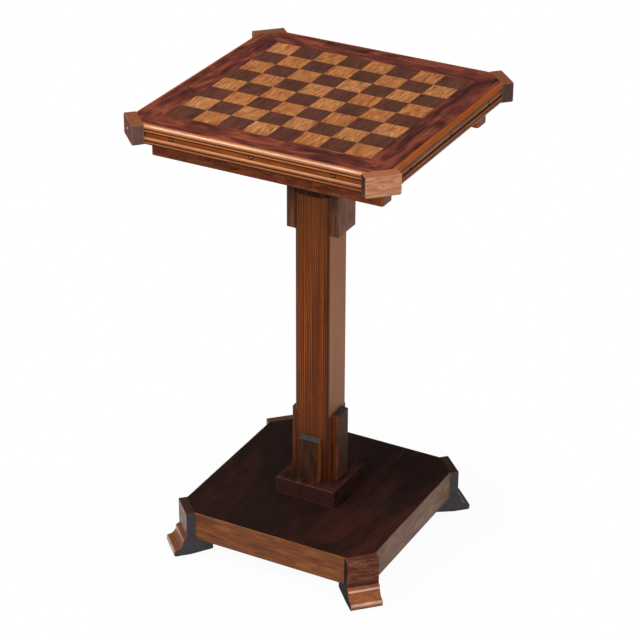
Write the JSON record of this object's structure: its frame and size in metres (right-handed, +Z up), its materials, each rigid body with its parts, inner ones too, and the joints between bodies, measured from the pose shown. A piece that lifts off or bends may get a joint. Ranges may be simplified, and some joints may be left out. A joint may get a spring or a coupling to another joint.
{
  "type": "chess table",
  "caption": "Square pedestal table with an inlaid chessboard top, beaded edge, corner blocks, buttressed square column and clipped base on scrolled corner feet.",
  "frame": {"origin": "on the floor, under the middle of the column", "axes": "+Z up, -Y towards the front edge, +X to the right along the front edge; the battens run along X"},
  "size_m": [0.438, 0.438, 0.726],
  "materials": {
    "base_panel": "waxed hardwood",
    "base_rail_back": "waxed hardwood",
    "base_rail_front": "waxed hardwood",
    "base_rail_left": "waxed hardwood",
    "base_rail_right": "waxed hardwood",
    "batten_back": "waxed hardwood",
    "batten_front": "waxed hardwood",
    "batten_screws": "dull metal",
    "column": "waxed hardwood",
    "corner_block_back_left": "waxed hardwood",
    "corner_block_back_right": "waxed hardwood",
    "corner_block_front_left": "waxed hardwood",
    "corner_block_front_right": "waxed hardwood",
    "corner_pins": "dull metal",
    "dark_squares": "waxed hardwood",
    "edge_moulding_back": "waxed hardwood",
    "edge_moulding_front": "waxed hardwood",
    "edge_moulding_left": "waxed hardwood",
    "edge_moulding_right": "waxed hardwood",
    "foot_back_left": "waxed hardwood",
    "foot_back_right": "waxed hardwood",
    "foot_front_left": "waxed hardwood",
    "foot_front_right": "waxed hardwood",
    "glue_block_back_left": "waxed hardwood",
    "glue_block_back_right": "waxed hardwood",
    "glue_block_front_left": "waxed hardwood",
    "glue_block_front_right": "waxed hardwood",
    "light_squares": "waxed hardwood",
    "lower_buttress_back": "waxed hardwood",
    "lower_buttress_front": "waxed hardwood",
    "lower_cheek_left": "waxed hardwood",
    "lower_cheek_right": "waxed hardwood",
    "moulding_nails": "dull metal",
    "plinth": "waxed hardwood",
    "plinth_screws": "dull metal",
    "top_border_back": "waxed hardwood",
    "top_border_front": "waxed hardwood",
    "top_border_left": "waxed hardwood",
    "top_border_right": "waxed hardwood",
    "top_core": "waxed hardwood",
    "upper_bracket_back": "waxed hardwood",
    "upper_bracket_front": "waxed hardwood",
    "upper_cheek_left": "waxed hardwood",
    "upper_cheek_right": "waxed hardwood"
  },
  "bodies": {
    "root": {"base_panel": "base_panel", "base_rail_back": "base_rail_back", "base_rail_front": "base_rail_front", "base_rail_left": "base_rail_left", "base_rail_right": "base_rail_right", "batten_back": "batten_back", "batten_front": "batten_front", "batten_screws": "batten_screws", "column": "column", "corner_block_back_left": "corner_block_back_left", "corner_block_back_right": "corner_block_back_right", "corner_block_front_left": "corner_block_front_left", "corner_block_front_right": "corner_block_front_right", "corner_pins": "corner_pins", "dark_squares": "dark_squares", "edge_moulding_back": "edge_moulding_back", "edge_moulding_front": "edge_moulding_front", "edge_moulding_left": "edge_moulding_left", "edge_moulding_right": "edge_moulding_right", "foot_back_left": "foot_back_left", "foot_back_right": "foot_back_right", "foot_front_left": "foot_front_left", "foot_front_right": "foot_front_right", "glue_block_back_left": "glue_block_back_left", "glue_block_back_right": "glue_block_back_right", "glue_block_front_left": "glue_block_front_left", "glue_block_front_right": "glue_block_front_right", "light_squares": "light_squares", "lower_buttress_back": "lower_buttress_back", "lower_buttress_front": "lower_buttress_front", "lower_cheek_left": "lower_cheek_left", "lower_cheek_right": "lower_cheek_right", "moulding_nails": "moulding_nails", "plinth": "plinth", "plinth_screws": "plinth_screws", "top_border_back": "top_border_back", "top_border_front": "top_border_front", "top_border_left": "top_border_left", "top_border_right": "top_border_right", "top_core": "top_core", "upper_bracket_back": "upper_bracket_back", "upper_bracket_front": "upper_bracket_front", "upper_cheek_left": "upper_cheek_left", "upper_cheek_right": "upper_cheek_right"}
  },
  "joints": []
}
